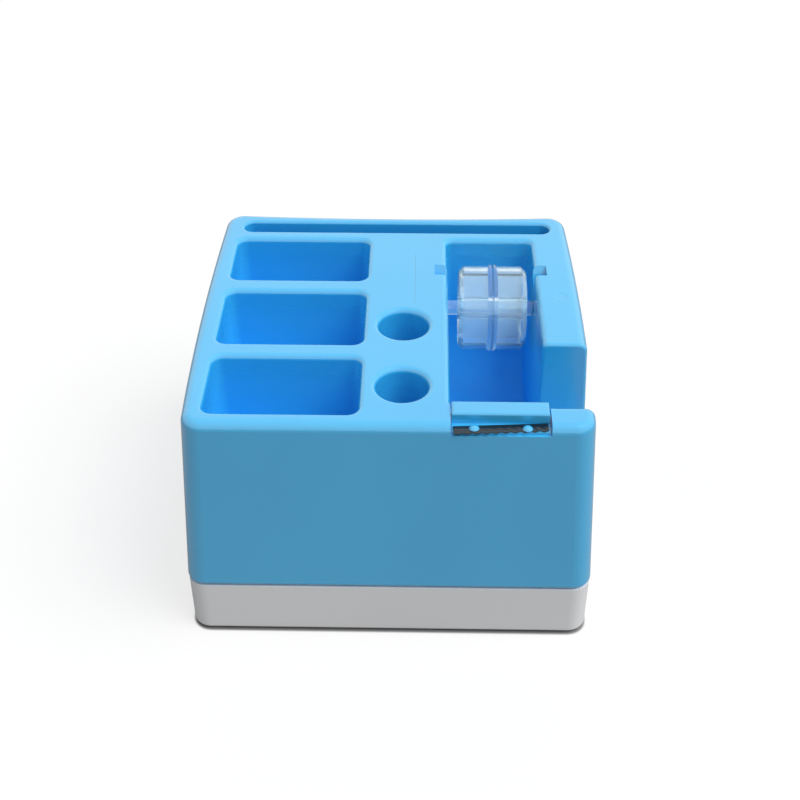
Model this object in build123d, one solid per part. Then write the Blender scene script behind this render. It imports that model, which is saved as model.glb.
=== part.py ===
"""Desk organizer with three pockets, two pen holes, a tape dispenser and a full-width drawer.

Millimetres. The origin is at the middle of the footprint, on the surface the feet stand on.
+X is to the right, +Y to the back and +Z up; the drawer opens towards -Y.
"""

from build123d import *
from math import cos, radians, tan
import os

# --- Whole body -----------------------------------------------------------------------------
deck_width = 106.5  # widest place of the deck, between the bulged sides
deck_depth = 103.6  # front edge to the back corners
side_bulge = 1.2  # how far each side stands out at its middle
back_bow = 1.5  # how far the back is drawn in at its middle
corner_radius = 5.3
draft_angle = 3.45  # the housing flares towards its lower edge
housing_height = 54.6
tray_height = 17.0  # white band: base and drawer front
seam_gap = 0.6  # dark line between the blue and the white
foot_height = 0.8

# --- Housing shell --------------------------------------------------------------------------
wall = 2.2
deck_thickness = 2.6
tub_wall = 1.6  # walls of the pockets, holes and wells that hang from the deck
top_edge_radius = 2.6
lower_edge_radius = 0.9
rim_radius = 1.6  # rounding where the deck turns down into a pocket
slot_rim_radius = 1.1
rim_share = 0.9  # most of the flat land beside a rim that its rounding may take

# --- Deck layout, from the front edge and from the sides --------------------------------------
side_rim = 5.95  # deck between the left side and the pockets
front_rim = 5.1
front_pocket_length = 23.6
front_pocket_rib = 6.2
middle_pocket_length = 25.1
middle_pocket_rib = 6.3
rear_rib = 4.4  # deck between the pockets and the long slot
slot_width = 5.6
slot_back_rim = 5.2
slot_left_margin = 6.9
slot_right_margin = 6.0
pocket_corner_radius = 3.0
pocket_floor_height = 29.6  # all floor heights are measured from the housing's lower edge
slot_floor_height = 24.6

pen_hole_radius = 6.8
pen_hole_left_rim = 4.2
pen_hole_right_rim = 5.6
pen_hole_front = 17.0  # front edge to the middle of the first hole
pen_hole_pitch = 27.1
pen_hole_floor_height = 6.6

# --- Tape well and the notch that opens it to the right ---------------------------------------
well_width = 25.3
well_right_rim = 12.2
well_front = 9.0
well_corner_radius = 2.0
well_floor_height = 4.6
well_sweep_radius = 20.0  # the floor curves up into the back wall, around the roll
notch_length = 26.0
notch_floor_height = 22.6
notch_edge_radius = 0.9
notch_side_radius = 2.2  # upright edges where the notch meets the right side

# --- Hub and its axle -------------------------------------------------------------------------
axle_radius = 2.1
axle_depth = 9.5  # axle's middle below the deck
axle_slot_lean = 31.0  # the slots run down and forwards, so that a full roll clears the back
slot_mouth_to_back = 16.6  # slot's mouth in the deck to the back of the well
axle_seat_clearance = 0.15
axle_end_clearance = 0.4
axle_end_chamfer = 0.5
axle_slot_depth = 3.7  # how far each slot runs into the well's wall
hub_radius = 12.2
hub_flange_radius = 12.65
hub_flange_thickness = 0.7
hub_wall = 1.3
hub_width = 19.9
hub_split = 0.6  # gap between the two halves
hub_shift = 0.35  # the hub sits a little to the right on its axle
hub_end_chamfer = 1.6
hub_web = 1.1  # closed end of each half, at the middle gap
hub_rib_thickness = 1.0
hub_rib_count = 6
hub_bush_wall = 1.4
hub_running_clearance = 0.08

# --- Blade and its holder ---------------------------------------------------------------------
holder_left_gap = 0.25  # holder to the left end of its opening, which is as wide as the well
holder_right_gap = 0.4
rest_length = 5.2  # front to back, of the bar the tape lies on
rest_rise = 1.1  # the bar stands above the deck
rest_edge_radius = 0.6
mouth_depth = 2.9  # lower lip of the opening in the front, below the deck
mouth_floor = 2.0
blade_seat_depth = 2.0
blade_seat_front = 0.5
blade_thickness = 0.4
blade_length = 3.0
blade_skew = 3.6  # degrees
blade_side_clearance = 0.35
blade_back_clearance = 0.95
tooth_count = 10
tooth_height = 0.5
stake_radius = 0.6
stake_spacing = 13.4
stake_head_radius = 1.3
stake_head_height = 0.7
stake_hole_clearance = 0.1
stake_back = 2.35  # stake's middle in front of the bar
holder_peg_radius = 1.2
holder_peg_back = 1.6  # peg's middle in front of the bar
holder_peg_length = 1.6
holder_peg_clearance = 0.1

# --- Base and drawer --------------------------------------------------------------------------
tray_inset = 0.2  # the white band stands back from the housing's lower edge
tray_wall = 2.0
tray_edge_radius = 1.0
base_floor = 1.8
guide_wall = 1.4
channel_width = 6.6  # between the base's side wall and the drawer's guide
drawer_wall = 1.6
drawer_floor = 1.6
drawer_gap = 0.4  # between the drawer's front block and the base
drawer_side_gap = 0.35
drawer_floor_gap = 0.3
drawer_back_gap = 0.6
drawer_top_gap = 1.0  # the drawer's walls stay this far below the band's top
drawer_front_depth = 12.5
drawer_front_wall = 2.4
drawer_corner_radius = 2.5
front_skin = 1.8  # top skin of the hollow front block
groove_width = 40.0  # finger groove under the drawer's front
groove_depth = 9.0

# --- Screws, their columns and the feet -------------------------------------------------------
screw_radius = 1.5
screw_head_radius = 2.7
screw_head_height = 1.8
screw_head_clearance = 0.3
screw_head_sink = 1.0  # the head's face above the base's underside
screw_bite = 9.0  # how far a screw goes into the housing
screw_hole_clearance = 0.2
pilot_clearance = 0.05
cross_width = 0.8
cross_length = 3.0
cross_depth = 0.9
column_radius = 4.2
boss_radius = 3.3
boss_height = 13.0
boss_rib = 1.6  # web from each boss out to the housing's side
screw_front_margin = 5.6  # column's middle behind the front end of the base
screw_back_margin = 11.5
foot_radius = 4.5
foot_sink = 0.8
foot_edge_radius = 0.4
foot_side_margin = 15.0
foot_front_margin = 8.0
foot_back_margin = 13.0

# --- Levels and places that follow from the sizes above ---------------------------------------
overrun = 2.0  # cuts run this far past the faces that they open
flare = tan(radians(draft_angle))
tray_bottom = foot_height
tray_top = tray_bottom + tray_height
housing_bottom = tray_top + seam_gap
deck_level = housing_bottom + housing_height
front_edge = -deck_depth / 2
back_edge = deck_depth / 2
left_edge = -deck_width / 2
right_edge = deck_width / 2
far_side = right_edge + flare * housing_height + overrun

slot_back = back_edge - slot_back_rim
slot_front = slot_back - slot_width
well_back = slot_front - rear_rib
well_front_face = front_edge + well_front
well_right = right_edge - well_right_rim
well_left = well_right - well_width
well_middle = (well_left + well_right) / 2
pen_hole_x = well_left - pen_hole_right_rim - pen_hole_radius
pocket_left = left_edge + side_rim
pocket_right = pen_hole_x - pen_hole_radius - pen_hole_left_rim
notch_back = well_front_face + notch_length

slot_mouth_y = well_back - slot_mouth_to_back
axle_y = slot_mouth_y - axle_depth * tan(radians(axle_slot_lean))
axle_z = deck_level - axle_depth
axle_slot_half = axle_radius + axle_seat_clearance
axle_slot_left = well_left - axle_slot_depth
axle_slot_right = well_right + axle_slot_depth
hub_middle = well_middle + hub_shift

mouth_level = deck_level - mouth_depth
blade_level = deck_level - blade_seat_depth
holder_left = well_left + holder_left_gap
holder_right = well_right - holder_right_gap
holder_middle = (holder_left + holder_right) / 2
rest_front = well_front_face - rest_length
stake_y = rest_front - stake_back
peg_y = rest_front - holder_peg_back
stake_rows = [holder_middle + side * stake_spacing / 2 for side in (-1, 1)]

tray_spread = flare * housing_height
tray_grow = tray_spread - tray_inset
tray_half_width = deck_width / 2 - side_bulge + tray_grow
tray_front = front_edge - tray_grow
tray_back = back_edge + tray_grow
tray_inner_back = tray_back - back_bow - tray_wall
drawer_split = tray_front + drawer_front_depth
base_front = drawer_split + drawer_gap
channel_outer = tray_half_width - tray_wall
guide_outer = channel_outer - channel_width
guide_inner = guide_outer - guide_wall
base_floor_top = tray_bottom + base_floor
drawer_half_width = guide_inner - drawer_side_gap
drawer_back = tray_inner_back - drawer_back_gap
drawer_bottom = base_floor_top + drawer_floor_gap
drawer_wall_top = tray_top - drawer_top_gap

screw_x = channel_outer - channel_width / 2
screw_y_places = (base_front + screw_front_margin, tray_back - screw_back_margin)
screw_places = {
    f"{row}_{side}": (sign * screw_x, y)
    for row, y in zip(("front", "rear"), screw_y_places)
    for side, sign in (("left", -1), ("right", 1))
}
foot_x = tray_half_width - foot_side_margin
foot_y_places = (base_front + foot_front_margin, tray_back - foot_back_margin)
foot_places = {
    f"{row}_{side}": (sign * foot_x, y)
    for row, y in zip(("front", "rear"), foot_y_places)
    for side, sign in (("left", -1), ("right", 1))
}


# --- Shapes used by several pieces ------------------------------------------------------------
def outline(spread, inset):
    """Plan of the body: straight front, bulged sides, bowed back.

    The flare has moved it out by spread with its corners unchanged; the inset is a wall's thickness.
    """
    half_x = deck_width / 2 + spread - inset
    half_y = deck_depth / 2 + spread - inset
    corner_x = half_x - side_bulge
    edges = Line((-corner_x, -half_y), (corner_x, -half_y))
    edges += ThreePointArc((corner_x, -half_y), (half_x, 0), (corner_x, half_y))
    edges += ThreePointArc((corner_x, half_y), (0, half_y - back_bow), (-corner_x, half_y))
    edges += ThreePointArc((-corner_x, half_y), (-half_x, 0), (-corner_x, -half_y))
    plan = make_face(edges)
    return fillet(plan.vertices(), corner_radius - inset)


def flared_body(low, high, inset):
    """Body between two levels, inset from the housing's flared outside."""
    sections = [Pos(0, 0, z) * outline(flare * (deck_level - z), inset) for z in (low, high)]
    return loft(sections, ruled=True)


def block(x, y, z):
    """Box between the limits given on each axis."""
    size = [high - low for low, high in (x, y, z)]
    middle = [(high + low) / 2 for low, high in (x, y, z)]
    return Pos(*middle) * Box(*size)


def rounded_block(x, y, z, radius):
    """Box with rounded upright corners."""
    plan = RectangleRounded(x[1] - x[0], y[1] - y[0], radius)
    place = Pos((x[0] + x[1]) / 2, (y[0] + y[1]) / 2, z[0])
    return extrude(place * plan, z[1] - z[0])


def upright(x, y, z, radius):
    """Cylinder standing on its lower limit."""
    middle = (z[0] + z[1]) / 2
    return Pos(x, y, middle) * Cylinder(radius, z[1] - z[0])


def grown(limits, amount):
    """Limits moved apart on both sides."""
    return (limits[0] - amount, limits[1] + amount)


# --- Hollows of the deck ----------------------------------------------------------------------
def pocket_rows():
    """Front and back limits of the three pockets."""
    front = front_edge + front_rim
    rows = [(front, front + front_pocket_length)]
    front = rows[0][1] + front_pocket_rib
    rows.append((front, front + middle_pocket_length))
    rows.append((rows[1][1] + middle_pocket_rib, well_back))
    return rows


def pocket_spaces(thickness=0.0):
    """The pockets' hollows, or with a thickness the blocks that hold their walls."""
    x = grown((pocket_left, pocket_right), thickness)
    z = (housing_bottom + pocket_floor_height - thickness, deck_level + overrun)
    radius = pocket_corner_radius + thickness
    return [rounded_block(x, grown(row, thickness), z, radius) for row in pocket_rows()]


def pen_hole_spaces(thickness=0.0):
    """The two pen holes, or with a thickness the tubes around them."""
    z = (housing_bottom + pen_hole_floor_height - thickness, deck_level + overrun)
    first = front_edge + pen_hole_front
    places = (first, first + pen_hole_pitch)
    return [upright(pen_hole_x, y, z, pen_hole_radius + thickness) for y in places]


def slot_space(thickness=0.0):
    """The long round-ended slot along the back."""
    x = grown((left_edge + slot_left_margin, right_edge - slot_right_margin), thickness)
    y = grown((slot_front, slot_back), thickness)
    z = (housing_bottom + slot_floor_height - thickness, deck_level + overrun)
    plan = SlotOverall(x[1] - x[0], y[1] - y[0])
    place = Pos((x[0] + x[1]) / 2, (y[0] + y[1]) / 2, z[0])
    return extrude(place * plan, z[1] - z[0])


def well_space(thickness=0.0):
    """The deep well that the tape turns in, its floor swept up into the back wall."""
    x = grown((well_left, well_right), thickness)
    y = grown((well_front_face, well_back), thickness)
    z = (housing_bottom + well_floor_height - thickness, deck_level + overrun)
    swept = block(x, y, z)
    low_back = swept.edges().filter_by(Axis.X).group_by(Axis.Z)[0].sort_by(Axis.Y)[-1]
    swept = fillet(low_back, well_sweep_radius + thickness)
    return swept & rounded_block(x, y, z, well_corner_radius + thickness)


def notch_space(thickness=0.0):
    """The gap in the right side that lets a finger reach the tape."""
    y = grown((well_front_face, notch_back), thickness)
    z = (housing_bottom + notch_floor_height - thickness, deck_level + overrun)
    return block((well_middle, far_side), y, z)


def axle_slot_space():
    """Leaning round-bottomed slots for the axle's ends, in both walls of the well."""
    x = (axle_slot_left, axle_slot_right)
    length = axle_depth / cos(radians(axle_slot_lean)) + 2 * overrun
    slot = block(x, (-axle_slot_half, axle_slot_half), (0, length))
    seat = Cylinder(axle_slot_half, x[1] - x[0], rotation=(0, 90, 0))
    slot += Pos((x[0] + x[1]) / 2, 0, 0) * seat
    return Pos(0, axle_y, axle_z) * Rot(-axle_slot_lean, 0, 0) * slot


def axle_slot_pads():
    """Thickened wall around the axle's slots."""
    x = grown((axle_slot_left, axle_slot_right), tub_wall)
    y = grown((axle_y - axle_slot_half, slot_mouth_y + axle_slot_half), tub_wall)
    return block(x, y, (axle_z - axle_slot_half - tub_wall, deck_level))


def mouth_space():
    """The opening in the front wall that the blade's holder drops into."""
    y = (front_edge - overrun, well_front_face + well_corner_radius)
    return block((well_left, well_right), y, (mouth_level, deck_level + overrun))


def mouth_block():
    """Material under the blade's holder, across the double front wall."""
    x = grown((well_left, well_right), tub_wall)
    return block(x, (front_edge, well_front_face), (mouth_level - mouth_floor, deck_level))


# --- Pieces -----------------------------------------------------------------------------------
def make_housing():
    """Blue moulding: flared shell, deck with its hollows, and bosses for the screws."""
    body = flared_body(housing_bottom, deck_level, 0)
    body = fillet(body.edges().group_by(Axis.Z)[-1], top_edge_radius)
    body = fillet(body.edges().group_by(Axis.Z)[0], lower_edge_radius)

    def rims_of(solid, spaces):
        """Edges on the deck that bound the given hollows."""
        deck_edges = solid.edges().group_by(Axis.Z)[-1]
        return [e for e in deck_edges if any(s.distance_to(e.center()) < 0.01 for s in spaces)]

    round_rims = pocket_spaces() + pen_hole_spaces() + [well_space()]
    side_land = side_rim - side_bulge - top_edge_radius
    body -= round_rims
    body = fillet(rims_of(body, round_rims), min(rim_radius, rim_share * side_land))
    back_land = slot_back_rim - back_bow - top_edge_radius
    body -= slot_space()
    body = fillet(rims_of(body, [slot_space()]), min(slot_rim_radius, rim_share * back_land))

    inside = flared_body(housing_bottom - overrun, deck_level - deck_thickness, wall)
    walls = pocket_spaces(tub_wall) + pen_hole_spaces(tub_wall)
    walls += [slot_space(tub_wall), well_space(tub_wall), notch_space(tub_wall)]
    walls += [axle_slot_pads(), mouth_block()]
    boss_z = (housing_bottom, housing_bottom + boss_height)
    for x, y in screw_places.values():
        rib_x = sorted((x, far_side if x > 0 else -far_side))
        walls.append(upright(x, y, boss_z, boss_radius))
        walls.append(block(rib_x, (y - boss_rib / 2, y + boss_rib / 2), boss_z))
    body -= inside - walls

    notch = notch_space()
    body -= [notch, axle_slot_space(), mouth_space()]
    edge_level = deck_level - notch_edge_radius
    lip = body.edges().filter_by(Axis.X).filter_by_position(Axis.Z, edge_level, deck_level + 0.01)
    lip = [e for e in lip if abs(e.center().Y - notch_back) < 0.01]
    body = fillet(lip, notch_edge_radius)
    side_edges = body.edges().filter_by_position(Axis.X, right_edge - side_bulge, far_side)
    notch_depth = housing_height - notch_floor_height
    side_edges = [e for e in side_edges if e.bounding_box().size.Z > notch_depth / 2]
    notch_ends = (well_front_face, notch_back)
    side_edges = [e for e in side_edges if min(abs(e.center().Y - y) for y in notch_ends) < 0.05]
    body = fillet(side_edges, notch_side_radius)

    peg_z = (mouth_level - mouth_floor - overrun, mouth_level + overrun)
    peg_hole = holder_peg_radius + holder_peg_clearance
    body -= [upright(x, peg_y, peg_z, peg_hole) for x in stake_rows]
    pilot_z = (housing_bottom - overrun, housing_bottom + screw_bite + 1)
    pilot = screw_radius + pilot_clearance
    body -= [upright(x, y, pilot_z, pilot) for x, y in screw_places.values()]
    return body


def make_blade_holder():
    """Insert with the bar that the tape lies on, the blade's seat, and stakes through the blade."""
    x = (holder_left, holder_right)
    bar = block(x, (rest_front, well_front_face), (mouth_level, deck_level + rest_rise))
    bar = fillet(bar.edges().group_by(Axis.Z)[-1], rest_edge_radius)
    seat = block(x, (front_edge + blade_seat_front, rest_front), (mouth_level, blade_level))
    head_level = blade_level + blade_thickness
    ball = (stake_head_radius**2 + stake_head_height**2) / (2 * stake_head_height)
    holder = bar + seat
    for stake_x in stake_rows:
        peg_z = (mouth_level - holder_peg_length, mouth_level)
        holder += upright(stake_x, peg_y, peg_z, holder_peg_radius)
        holder += upright(stake_x, stake_y, (blade_level, head_level), stake_radius)
        sphere = Pos(stake_x, stake_y, head_level + stake_head_height - ball) * Sphere(ball)
        around = (stake_x - ball, stake_x + ball), (stake_y - ball, stake_y + ball)
        holder += sphere & block(*around, (head_level, head_level + ball))
    return holder


def make_blade():
    """Toothed steel strip, a little skewed on its stakes."""
    width = holder_right - holder_left - 2 * blade_side_clearance
    pitch = width / tooth_count
    back = rest_front - blade_back_clearance
    root = back - blade_length + tooth_height
    points = [(-width / 2, back), (-width / 2, root)]
    for tooth in range(tooth_count):
        start = -width / 2 + tooth * pitch
        points.append((start + pitch / 2, root - tooth_height))
        points.append((start + pitch, root))
    points.append((width / 2, back))
    strip = extrude(make_face(Polyline(*points, close=True)), blade_thickness)
    turned = Pos(0, stake_y, 0) * Rot(0, 0, blade_skew) * Pos(0, -stake_y, 0) * strip
    blade = Pos(holder_middle, 0, blade_level) * turned
    hole_z = (blade_level - overrun, blade_level + overrun)
    hole = stake_radius + stake_hole_clearance
    return blade - [upright(x, stake_y, hole_z, hole) for x in stake_rows]


def make_axle():
    """Clear rod that lies in the slots of the well's walls."""
    length = axle_slot_right - axle_slot_left - 2 * axle_end_clearance
    rod = Cylinder(axle_radius, length)
    rod = chamfer(rod.edges().filter_by(GeomType.CIRCLE), axle_end_chamfer)
    return Pos((axle_slot_left + axle_slot_right) / 2, axle_y, axle_z) * Rot(0, 90, 0) * rod


def make_hub_half(side):
    """One clear cup of the tape hub, along its own Z from the middle gap outwards."""
    start = hub_split / 2
    end = hub_width / 2
    inner = hub_radius - hub_wall
    bore = axle_radius + hub_running_clearance
    bush = bore + hub_bush_wall
    ring = upright(0, 0, (start, end), hub_radius)
    ring = chamfer(ring.edges().filter_by(GeomType.CIRCLE).group_by(Axis.Z)[-1], hub_end_chamfer)
    ring += upright(0, 0, (start, start + hub_flange_thickness), hub_flange_radius)
    ring -= upright(0, 0, (start - overrun, end + overrun), inner)
    web = upright(0, 0, (start, start + hub_web), inner + hub_wall / 2)
    half = ring + web + upright(0, 0, (0, end), bush)
    rib_side = (-hub_rib_thickness / 2, hub_rib_thickness / 2)
    rib = block((0, inner + hub_wall / 2), rib_side, (start, end - hub_end_chamfer))
    for number in range(hub_rib_count):
        half += Rot(0, 0, number * 360 / hub_rib_count) * rib
    half -= upright(0, 0, (-overrun, end + overrun), bore)
    return Pos(hub_middle, axle_y, axle_z) * Rot(0, side * 90, 0) * half


def tray_solid():
    """White band, before it is divided into the base and the drawer's front."""
    solid = extrude(Pos(0, 0, tray_bottom) * outline(tray_spread, tray_inset), tray_height)
    return fillet(solid.edges().group_by(Axis.Z)[0], tray_edge_radius)


def make_base():
    """White floor with side and back walls, drawer guides and screw columns."""
    reach = tray_half_width + side_bulge + overrun
    behind = block((-reach, reach), (base_front, tray_back + overrun), (0, tray_top + overrun))
    solid = tray_solid() & behind
    inner_plan = outline(tray_spread, tray_inset + tray_wall)
    inner = extrude(Pos(0, 0, base_floor_top) * inner_plan, tray_height)
    walls = []
    for side in (-1, 1):
        x = sorted((side * guide_inner, side * guide_outer))
        walls.append(block(x, (base_front, tray_back), (tray_bottom, tray_top)))
    column_z = (tray_bottom, tray_top)
    walls += [upright(x, y, column_z, column_radius) for x, y in screw_places.values()]
    solid -= inner - walls
    neck_z = (tray_top - overrun, housing_bottom)
    solid += [upright(x, y, neck_z, boss_radius) for x, y in screw_places.values()]
    for x, y in screw_places.values():
        through = (tray_bottom - overrun, housing_bottom + overrun)
        solid -= upright(x, y, through, screw_radius + screw_hole_clearance)
        head_z = (tray_bottom - overrun, tray_bottom + screw_head_sink + screw_head_height)
        solid -= upright(x, y, head_z, screw_head_radius + screw_head_clearance)
    foot_z = (tray_bottom - overrun, tray_bottom + foot_sink)
    return solid - [upright(x, y, foot_z, foot_radius) for x, y in foot_places.values()]


def make_drawer():
    """White drawer: shallow box behind a hollow full-width front block with a finger groove."""
    reach = tray_half_width + side_bulge + overrun
    ahead = block((-reach, reach), (tray_front - overrun, drawer_split), (0, tray_top + overrun))
    front = tray_solid() & ahead
    cell_front = tray_front + drawer_front_wall
    cell_back = drawer_split - drawer_wall
    groove_x = (-groove_width / 2, groove_width / 2)
    groove_z = (tray_bottom - overrun, tray_bottom + groove_depth)
    front -= block(groove_x, (cell_front, cell_back), groove_z)
    core_plan = Pos(0, 0, tray_bottom - overrun) * outline(tray_spread, tray_inset + drawer_front_wall)
    core = extrude(core_plan, tray_height + overrun - front_skin)
    for side in (-1, 1):
        x = sorted((side * (groove_width / 2 + drawer_wall), side * reach))
        front -= core & block(x, (cell_front, cell_back), (0, tray_top))
    x = (-drawer_half_width, drawer_half_width)
    y = (drawer_split - drawer_corner_radius, drawer_back)
    box = rounded_block(x, y, (drawer_bottom, drawer_wall_top), drawer_corner_radius)
    box &= block(x, (drawer_split, drawer_back), (0, tray_top))
    inside_x = grown(x, -drawer_wall)
    inside_z = (drawer_bottom + drawer_floor, tray_top + overrun)
    inside_radius = drawer_corner_radius - drawer_wall / 2
    inside = rounded_block(inside_x, (drawer_split, drawer_back - drawer_wall), inside_z, inside_radius)
    return front + (box - inside)


def make_screw(x, y):
    """Cross-head screw driven up through a column of the base."""
    head_bottom = tray_bottom + screw_head_sink
    head_top = head_bottom + screw_head_height
    head = upright(x, y, (head_bottom, head_top), screw_head_radius)
    head = fillet(head.edges().filter_by(GeomType.CIRCLE).group_by(Axis.Z)[0], screw_head_height / 3)
    shank = upright(x, y, (head_top, housing_bottom + screw_bite), screw_radius)
    shank = chamfer(shank.edges().filter_by(GeomType.CIRCLE).group_by(Axis.Z)[-1], screw_radius / 2)
    screw = head + shank
    cross_z = (head_bottom - overrun, head_bottom + cross_depth)
    along = (-cross_length / 2, cross_length / 2)
    across = (-cross_width / 2, cross_width / 2)
    cross = block(along, across, cross_z) + block(across, along, cross_z)
    return screw - Pos(x, y, 0) * cross


def make_foot(x, y):
    """Rubber disc set into the base."""
    foot = upright(x, y, (0, tray_bottom + foot_sink), foot_radius)
    return fillet(foot.edges().filter_by(GeomType.CIRCLE).group_by(Axis.Z)[0], foot_edge_radius)


def main():
    pieces = {
        "housing": make_housing(),
        "blade_holder": make_blade_holder(),
        "cutter_blade": make_blade(),
        "hub_axle": make_axle(),
        "hub_left": make_hub_half(-1),
        "hub_right": make_hub_half(1),
        "base": make_base(),
        "drawer": make_drawer(),
    }
    for name, (x, y) in screw_places.items():
        pieces[f"screw_{name}"] = make_screw(x, y)
    for name, (x, y) in foot_places.items():
        pieces[f"foot_{name}"] = make_foot(x, y)
    os.makedirs("parts", exist_ok=True)
    for name, shape in pieces.items():
        export_step(shape, f"parts/{name}.step")
        print(name, "volume", round(shape.volume, 1), "solids", len(shape.solids()))


main()
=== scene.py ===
import math

import bpy
import numpy as np
from mathutils import Matrix, Vector


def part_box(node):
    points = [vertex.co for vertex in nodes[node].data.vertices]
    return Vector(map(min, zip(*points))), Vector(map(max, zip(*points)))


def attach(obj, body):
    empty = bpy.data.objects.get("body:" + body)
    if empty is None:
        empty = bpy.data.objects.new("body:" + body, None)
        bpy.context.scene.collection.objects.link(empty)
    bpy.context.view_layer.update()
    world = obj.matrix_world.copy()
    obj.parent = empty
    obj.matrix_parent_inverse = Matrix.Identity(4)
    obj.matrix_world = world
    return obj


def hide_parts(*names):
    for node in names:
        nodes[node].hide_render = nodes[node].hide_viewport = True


# Desk organizer: blue top with pockets and a tape well, clear tape hub, white drawer below.
# Metres; +X right, +Y back, +Z up.

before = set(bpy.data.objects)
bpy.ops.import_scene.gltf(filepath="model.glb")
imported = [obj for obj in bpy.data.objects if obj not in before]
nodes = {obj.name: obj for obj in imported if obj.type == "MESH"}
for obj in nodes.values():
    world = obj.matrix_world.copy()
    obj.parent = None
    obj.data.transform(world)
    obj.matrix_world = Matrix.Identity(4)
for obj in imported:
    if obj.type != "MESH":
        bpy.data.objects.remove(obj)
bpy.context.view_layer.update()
mm = 0.001
print("frame loaded:", len(nodes), "nodes")


class Wire:
    # one output socket; arithmetic on it adds Math nodes to its sheet
    def __init__(self, sheet, socket):
        self.sheet = sheet
        self.socket = socket

    def math(self, operation, *others):
        values = dict(enumerate((self,) + others))
        return self.sheet.node("ShaderNodeMath", {"operation": operation}, values)

    def __add__(self, other):
        return self.math("ADD", other)

    def __radd__(self, other):
        return self.math("ADD", other)

    def __sub__(self, other):
        return self.math("SUBTRACT", other)

    def __rsub__(self, other):
        return (self * -1.0).math("ADD", other)

    def __mul__(self, other):
        return self.math("MULTIPLY", other)

    def __rmul__(self, other):
        return self.math("MULTIPLY", other)

    def __abs__(self):
        return self.math("ABSOLUTE")

    # 0 below low, 1 above high, smooth between
    def step(self, low, high):
        settings = {"interpolation_type": "SMOOTHSTEP"}
        limits = {"Value": self, "From Min": low, "From Max": high, "To Min": 0.0, "To Max": 1.0}
        return self.sheet.node("ShaderNodeMapRange", settings, limits)

    # 1 between low and high, with soft ends as long as soft
    def within(self, low, high, soft):
        return self.step(low - soft, low) * (1.0 - self.step(high, high + soft))


class Sheet:
    # one node tree; node() adds any node, sets its settings, then its sockets, and returns one output
    def __init__(self, owner):
        owner.use_nodes = True
        self.tree = owner.node_tree
        self.tree.nodes.clear()

    def node(self, kind, settings=None, sockets=None, output=0):
        made = self.tree.nodes.new(kind)
        for name, value in (settings or {}).items():
            setattr(made, name, value)
        for key, value in (sockets or {}).items():
            self.feed(made.inputs[key], value)
        return Wire(self, made.outputs[output]) if made.outputs else made

    def feed(self, socket, value):
        if isinstance(value, Wire):
            self.tree.links.new(value.socket, socket)
        elif socket.type == "RGBA":
            socket.default_value = (*value, 1.0)
        else:
            socket.default_value = value

    def coords(self):
        return self.node("ShaderNodeTexCoord", output="Object")

    # x, y and z of the surface point, as three wires
    def axes(self):
        place = self.coords()
        return [self.node("ShaderNodeSeparateXYZ", {}, {0: place}, name) for name in "XYZ"]

    def noise(self, scale, detail, stretch=(1.0, 1.0, 1.0)):
        place = self.node("ShaderNodeMapping", {}, {"Vector": self.coords(), "Scale": stretch})
        return self.node("ShaderNodeTexNoise", {}, {"Vector": place, "Scale": scale, "Detail": detail})

    # 1 inside a round mark seen from above: the distance to its middle, stepped at its radius
    def roundMark(self, middle, radius, soft):
        x, y, _ = self.axes()
        away = x - middle[0], y - middle[1]
        distance = (away[0] * away[0] + away[1] * away[1]).math("SQRT")
        return 1.0 - distance.step(radius - soft, radius + soft)

    # inputs 6 and 7 of a Mix node are its two colours
    def blend(self, share, first, second):
        colours = {0: share, 6: first, 7: second}
        return self.node("ShaderNodeMix", {"data_type": "RGBA"}, colours, 2)

    # height in millimetres
    def bump(self, height):
        return self.node("ShaderNodeBump", {}, {"Height": height, "Strength": 1.0, "Distance": mm})

    def finish(self, shader, kind="ShaderNodeOutputMaterial"):
        self.node(kind, {}, {"Surface": shader})


def newMaterial(name):
    material = bpy.data.materials.new(name)
    return material, Sheet(material)


# roughness of a finish, moved both ways by a noise that has its middle at 0.5
def uneven(s, noise):
    return s["roughness"] + s["roughnessSpread"] * (noise - 0.5)


def dress(names, material):
    for name in names:
        for holder in nodes[name].material_slots:
            holder.material = material


bluePlastic = {
    "colour": (0.045, 0.53, 0.95),
    "flowColour": (0.041, 0.51, 0.93),
    "flowScale": 26.0,  # per metre
    "flowRange": (0.35, 0.7),  # noise values between which the flow colour comes in
    "roughness": 0.2,
    "roughnessSpread": 0.06,
    "roughnessScale": 420.0,
    "gloss": 1.8,  # index of refraction
    "coatRoughness": 0.2,
    "coatGloss": 1.5,
    # the mould's core left the walls of the hollows matt, this far inside the housing's box
    "hollowSide": 8.5 * mm,
    "hollowFront": 7.5 * mm,
    "hollowBack": 8.2 * mm,
    "hollowTop": 2.0 * mm,
    "hollowSoft": 3.0 * mm,
    "hollowFade": 14.0 * mm,
    "hollowRoughness": 0.45,
    "grainScale": 3200.0,
    "grainHeight": 0.004,  # heights in millimetres
    "waveScale": 90.0,
    "waveHeight": 0.02,
    "deckWhole": 0.1 * mm,  # depths under the deck to which its marks are whole, and at which they end
    "deckGone": 0.4 * mm,
    "witnessPlace": 6.6 * mm,  # faint straight line that the mould left on the deck
    "witnessFront": 4.0 * mm,
    "witnessBack": 27.0 * mm,
    "witnessFade": 2.0 * mm,
    "witnessCore": 0.05 * mm,  # half widths of the line, full height and nothing left
    "witnessEdge": 0.22 * mm,
    "witnessHeight": 0.1,
    "gatePlace": (47.9 * mm, 6.7 * mm),  # where the plastic was fed in
    "gateRadius": 1.6 * mm,
    "gateSoft": 0.5 * mm,
    "gateDepth": 0.12,
}


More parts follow.
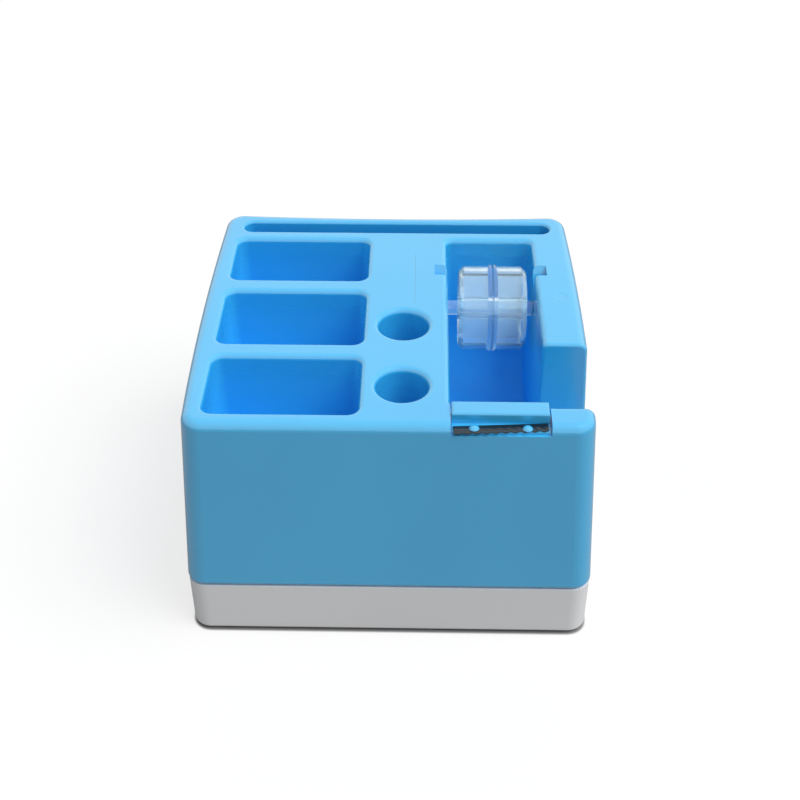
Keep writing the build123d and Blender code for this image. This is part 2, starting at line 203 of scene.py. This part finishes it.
def makeBlue():
    s = bluePlastic
    material, sheet = newMaterial("bluePlastic")
    flow = sheet.noise(s["flowScale"], detail=4.0, stretch=(1.0, 1.0, 0.5)).step(*s["flowRange"])
    x, y, z = sheet.axes()
    low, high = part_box("housing")
    onDeck = z.step(high.z - s["deckGone"], high.z - s["deckWhole"])
    across = 1.0 - abs(x - s["witnessPlace"]).step(s["witnessCore"], s["witnessEdge"])
    witness = across * y.within(s["witnessFront"], s["witnessBack"], s["witnessFade"]) * onDeck
    gate = sheet.roundMark(s["gatePlace"], s["gateRadius"], s["gateSoft"]) * onDeck
    colour = sheet.blend(flow, s["colour"], s["flowColour"])
    grain = sheet.noise(s["grainScale"], detail=2.0) * s["grainHeight"]
    wave = sheet.noise(s["waveScale"], detail=1.0) * s["waveHeight"]
    marks = witness * s["witnessHeight"] - gate * s["gateDepth"]
    hollow = x.within(low.x + s["hollowSide"], high.x - s["hollowSide"], s["hollowSoft"])
    hollow = hollow * y.within(low.y + s["hollowFront"], high.y - s["hollowBack"], s["hollowSoft"])
    hollowTop = high.z - s["hollowTop"]
    hollow = hollow * (1.0 - z.step(hollowTop - s["hollowFade"], hollowTop))
    roughness = uneven(s, sheet.noise(s["roughnessScale"], detail=5.0)) + s["hollowRoughness"] * hollow
    shader = sheet.node("ShaderNodeBsdfPrincipled", {}, {
        "Base Color": colour, "Roughness": roughness, "IOR": s["gloss"], "Coat Weight": 1.0 - hollow,
        "Coat Roughness": s["coatRoughness"], "Coat IOR": s["coatGloss"],
        "Normal": sheet.bump(grain + wave + marks)})
    sheet.finish(shader)
    return material


whitePlastic = {
    "colour": (0.94, 0.95, 0.96),
    "flowColour": (0.915, 0.93, 0.945),
    "flowScale": 30.0,
    "flowRange": (0.35, 0.7),
    "gloss": 1.5,
    "roughness": 0.36,
    "roughnessSpread": 0.1,
    "roughnessScale": 380.0,
    "grainScale": 2600.0,
    "grainHeight": 0.005,
    # marks of the pins that push the piece out of its mould
    "pinPlaces": [(side * 30.0 * mm, y * mm) for y in (-20.0, 32.0) for side in (-1, 1)],
    "pinRadius": 2.6 * mm,
    "pinSoft": 0.12 * mm,
    "pinDepth": 0.06,
}


def makeWhite():
    s = whitePlastic
    material, sheet = newMaterial("whitePlastic")
    flow = sheet.noise(s["flowScale"], detail=4.0, stretch=(0.6, 1.0, 1.0)).step(*s["flowRange"])
    colour = sheet.blend(flow, s["colour"], s["flowColour"])
    roughness = uneven(s, sheet.noise(s["roughnessScale"], detail=5.0))
    height = sheet.noise(s["grainScale"], detail=2.0) * s["grainHeight"]
    for place in s["pinPlaces"]:
        height = height - sheet.roundMark(place, s["pinRadius"], s["pinSoft"]) * s["pinDepth"]
    shader = sheet.node("ShaderNodeBsdfPrincipled", {}, {
        "Base Color": colour, "Roughness": roughness, "IOR": s["gloss"], "Normal": sheet.bump(height)})
    sheet.finish(shader)
    return material


clearPlastic = {
    "tint": (0.90, 0.965, 1.0),
    "milk": (0.62, 0.86, 1.0),  # light that the plastic scatters
    "milkShare": 0.11,
    "lampTint": (0.86, 0.92, 0.98),
    "roughness": 0.05,
    "hazeScale": 700.0,
    "hazeLeast": 0.6,  # share of the roughness that is everywhere
    "gloss": 1.5,
    "rippleScale": 160.0,
    "rippleHeight": 0.03,
}


def makeClear():
    s = clearPlastic
    material, sheet = newMaterial("clearPlastic")
    ripple = sheet.noise(s["rippleScale"], detail=2.0) * s["rippleHeight"]
    haze = s["roughness"] * (s["hazeLeast"] + sheet.noise(s["hazeScale"], detail=4.0))
    normal = sheet.bump(ripple)
    glass = sheet.node("ShaderNodeBsdfPrincipled", {}, {
        "Base Color": s["tint"], "Roughness": haze, "IOR": s["gloss"], "Transmission Weight": 1.0,
        "Normal": normal})
    milk = sheet.node("ShaderNodeBsdfDiffuse", {}, {"Color": s["milk"], "Normal": normal})
    hazy = sheet.node("ShaderNodeMixShader", {}, {0: s["milkShare"], 1: glass, 2: milk})
    through = sheet.node("ShaderNodeBsdfTransparent", {}, {"Color": s["lampTint"]})
    forLamps = sheet.node("ShaderNodeLightPath", output="Is Shadow Ray")
    sheet.finish(sheet.node("ShaderNodeMixShader", {}, {0: forLamps, 1: hazy, 2: through}))
    return material


bladeSteel = {
    "colour": (0.075, 0.095, 0.11),
    "streakColour": (0.06, 0.075, 0.09),
    "roughness": 0.24,
    "roughnessSpread": 0.08,
    "streakScale": 900.0,
    "streakRange": (0.3, 0.7),
    "streakHeight": 0.003,
}


def makeSteel():
    s = bladeSteel
    material, sheet = newMaterial("bladeSteel")
    streaks = sheet.noise(s["streakScale"], detail=4.0, stretch=(0.08, 1.0, 1.0))
    colour = sheet.blend(streaks.step(*s["streakRange"]), s["colour"], s["streakColour"])
    shader = sheet.node("ShaderNodeBsdfPrincipled", {}, {
        "Base Color": colour, "Metallic": 1.0, "Roughness": uneven(s, streaks),
        "Normal": sheet.bump(streaks * s["streakHeight"])})
    sheet.finish(shader)
    return material


zincScrew = {
    "colour": (0.62, 0.61, 0.58),
    "stainColour": (0.45, 0.44, 0.42),
    "stainScale": 900.0,
    "stainRange": (0.35, 0.75),
    "stainHeight": 0.01,
    "roughness": 0.34,
    "roughnessSpread": 0.2,
}


def makeZinc():
    s = zincScrew
    material, sheet = newMaterial("zincScrew")
    stain = sheet.noise(s["stainScale"], detail=4.0)
    colour = sheet.blend(stain.step(*s["stainRange"]), s["colour"], s["stainColour"])
    shader = sheet.node("ShaderNodeBsdfPrincipled", {}, {
        "Base Color": colour, "Metallic": 1.0, "Roughness": uneven(s, stain),
        "Normal": sheet.bump(stain * s["stainHeight"])})
    sheet.finish(shader)
    return material


footRubber = {
    "colour": (0.022, 0.021, 0.02),
    "dustColour": (0.05, 0.048, 0.045),
    "dustScale": 500.0,
    "dustRange": (0.4, 0.8),
    "dustHeight": 0.02,
    "roughness": 0.78,
    "roughnessSpread": 0.15,
}


def makeRubber():
    s = footRubber
    material, sheet = newMaterial("footRubber")
    dust = sheet.noise(s["dustScale"], detail=5.0)
    colour = sheet.blend(dust.step(*s["dustRange"]), s["colour"], s["dustColour"])
    shader = sheet.node("ShaderNodeBsdfPrincipled", {}, {
        "Base Color": colour, "Roughness": uneven(s, dust), "Normal": sheet.bump(dust * s["dustHeight"])})
    sheet.finish(shader)
    return material


steel = makeSteel()
dress(["housing", "blade_holder"], makeBlue())
dress(["base", "drawer"], makeWhite())
dress(["hub_axle", "hub_left", "hub_right"], makeClear())
dress(["cutter_blade"], steel)
dress([name for name in nodes if name.startswith("screw_")], makeZinc())
dress([name for name in nodes if name.startswith("foot_")], makeRubber())
print("materials on the frame")


cutterBlade = {
    "teeth": 10,
    "toothHeight": 0.5 * mm,
    "skew": 3.6,  # degrees
    "groundLength": 1.3 * mm,  # ground slope behind the tips
    "tipDrop": 0.08 * mm,
    "valleyDrop": 0.12 * mm,
    "tipFlat": 0.06,  # blunt share of each tooth
}


# points turned about Z by an angle in degrees: x cos - y sin, x sin + y cos, z
def turned(points, angle):
    cosine, sine = math.cos(math.radians(angle)), math.sin(math.radians(angle))
    return points @ np.array([[cosine, sine, 0.0], [-sine, cosine, 0.0], [0.0, 0.0, 1.0]])


# middle of a skewed node, and its limits about that middle once the skew is turned back
def straightLimits(node, skew):
    points = np.empty(len(node.data.vertices) * 3)
    node.data.vertices.foreach_get("co", points)
    points = points.reshape(-1, 3)
    middle = (points.min(axis=0) + points.max(axis=0)) / 2
    points = turned(points - middle, -skew)
    return middle, points.min(axis=0), points.max(axis=0)


# closed tube: every row of the grid is a loop, neighbours are joined by quads, both ends get a cap
def loopTube(name, loops):
    count, sides = loops.shape[:2]
    ids = np.arange(count * sides).reshape(count, sides)
    after = np.roll(ids, -1, axis=1)
    quads = np.stack([ids[:-1], after[:-1], after[1:], ids[1:]], axis=-1).reshape(-1, 4)
    faces = quads.tolist() + [ids[0, ::-1].tolist(), ids[-1].tolist()]
    mesh = bpy.data.meshes.new(name)
    mesh.from_pydata(loops.reshape(-1, 3).tolist(), [], faces)
    piece = bpy.data.objects.new(name, mesh)
    bpy.context.scene.collection.objects.link(piece)
    return piece


# along the blade, "valley" is a triangle wave: 0 on the flat of a tip, nearly 1 between two teeth. It
# sets how far the edge stands back and how low its top is ground; each place gets one profile loop.
def makeCutterBlade():
    s = cutterBlade
    middle, low, high = straightLimits(nodes["cutter_blade"], s["skew"])
    phases = np.array([0.0, 0.5 - s["tipFlat"] / 2, 0.5 + s["tipFlat"] / 2])
    along = np.append((np.arange(s["teeth"])[:, None] + phases).ravel(), s["teeth"])
    x = low[0] + (high[0] - low[0]) * along / s["teeth"]
    valley = np.maximum(np.abs(2.0 * (along % 1.0) - 1.0) - s["tipFlat"], 0.0)
    edge = low[1] + s["toothHeight"] * valley
    ground = np.full_like(x, low[1] + s["toothHeight"] + s["groundLength"])
    top, bottom, back = (np.full_like(x, level) for level in (high[2], low[2], high[1]))
    edgeTop = top - s["tipDrop"] - s["valleyDrop"] * valley
    profile = [(back, bottom), (back, top), (ground, top), (edge, edgeTop), (edge, bottom)]
    loops = np.stack([np.stack([x, y, z], axis=-1) for y, z in profile], axis=1)
    blade = loopTube("cutterBlade", turned(loops, s["skew"]) + middle)
    blade.data.materials.append(steel)
    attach(blade, "housing")
    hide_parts("cutter_blade")


makeCutterBlade()
print("blade ground")


studio = {
    "ambient": 0.40,
    "keyStrength": 2.3,
    "keyAngle": 42.0,  # degrees across, as a large soft box looks from the desk
    "keyTiltRight": 30.0,
    "keyTiltFront": 9.0,
    "floorSize": 6.0,
    "floorColour": (0.28, 0.28, 0.28),
    "floorLift": 0.72,  # for what looks at the floor, never for the light on the object
    "floorInGloss": 0.12,
    "paintedShadowReach": 1.6 * mm,  # painted contact shadow: the paper loses its lift this near to what stands on it
    "paintedShadowFull": 0.65,  # openness at which the lift is gone, so the painted contact shadow is darkest, and at which it is whole
    "paintedShadowGone": 0.92,
}


# the camera, and what it sees through glass, take the background as white paper
def lookingRays(sheet):
    camera, glass = (sheet.node("ShaderNodeLightPath", output=name)
                     for name in ("Is Camera Ray", "Is Transmission Ray"))
    return camera.math("MAXIMUM", glass)


def glossyRays(sheet):
    return sheet.node("ShaderNodeLightPath", output="Is Glossy Ray")


def makeStudio():
    s = studio
    world = bpy.data.worlds.new("studioWorld")
    bpy.context.scene.world = world
    sheet = Sheet(world)
    seen = lookingRays(sheet).math("MAXIMUM", glossyRays(sheet))
    strength = s["ambient"] + (1.0 - s["ambient"]) * seen
    background = sheet.node("ShaderNodeBackground", {}, {"Color": (1.0, 1.0, 1.0), "Strength": strength})
    sheet.finish(background, "ShaderNodeOutputWorld")

    lamp = bpy.data.lights.new("keyLamp", "SUN")
    lamp.energy = s["keyStrength"]
    lamp.angle = math.radians(s["keyAngle"])
    key = bpy.data.objects.new("keyLamp", lamp)
    key.rotation_euler = (math.radians(s["keyTiltFront"]), math.radians(s["keyTiltRight"]), 0.0)
    key.visible_glossy = False  # the soft box shows in reflections only as part of the pale surroundings
    bpy.context.scene.collection.objects.link(key)

    half = s["floorSize"] / 2
    mesh = bpy.data.meshes.new("floor")
    corners = [(-half, -half, 0), (half, -half, 0), (half, half, 0), (-half, half, 0)]
    mesh.from_pydata(corners, [], [(0, 1, 2, 3)])
    floor = bpy.data.objects.new("floor", mesh)
    bpy.context.scene.collection.objects.link(floor)
    material, sheet = newMaterial("floorPaper")
    paper = sheet.node("ShaderNodeBsdfDiffuse", {}, {"Color": s["floorColour"]})
    # painted contact shadow: ambient occlusion takes the paper's glow away under and beside the object, so
    # the floor shows dark there
    around = sheet.node("ShaderNodeAmbientOcclusion", {"samples": 16}, {"Distance": s["paintedShadowReach"]}, "AO")
    freeOfPaintedShadow = around.step(s["paintedShadowFull"], s["paintedShadowGone"])
    level = s["floorLift"] * freeOfPaintedShadow * lookingRays(sheet) + s["floorInGloss"] * glossyRays(sheet)
    lift = sheet.node("ShaderNodeEmission", {}, {"Color": (1.0, 1.0, 1.0), "Strength": level})
    sheet.finish(sheet.node("ShaderNodeAddShader", {}, {0: paper, 1: lift}))
    mesh.materials.append(material)


cameraSetup = {
    "place": (0.00743, -0.28884, 0.27068),
    "pitch": 38.62,  # degrees down
    "yaw": -1.034,
    "roll": 0.051,
    "lens": 56.0,
    "sensor": 36.0,
    "nearest": 0.01,
}


# ahead, right and up of the camera, from its pitch, yaw and roll
def makeCamera():
    s = cameraSetup
    pitch, yaw, roll = (math.radians(s[name]) for name in ("pitch", "yaw", "roll"))
    ahead = Vector((math.sin(yaw) * math.cos(pitch), math.cos(yaw) * math.cos(pitch), -math.sin(pitch)))
    level = Vector((math.cos(yaw), -math.sin(yaw), 0.0))
    down = ahead.cross(level)
    right = level * math.cos(roll) + down * math.sin(roll)
    up = level * math.sin(roll) - down * math.cos(roll)
    data = bpy.data.cameras.new("camera")
    data.lens = s["lens"]
    data.sensor_width = s["sensor"]
    data.clip_start = s["nearest"]
    camera = bpy.data.objects.new("camera", data)
    turn = Matrix((right, up, -ahead)).transposed().to_4x4()
    camera.matrix_world = Matrix.Translation(s["place"]) @ turn
    bpy.context.scene.collection.objects.link(camera)
    bpy.context.scene.camera = camera


makeStudio()
makeCamera()
bpy.context.scene.view_settings.view_transform = "Standard"
print("studio and camera ready")
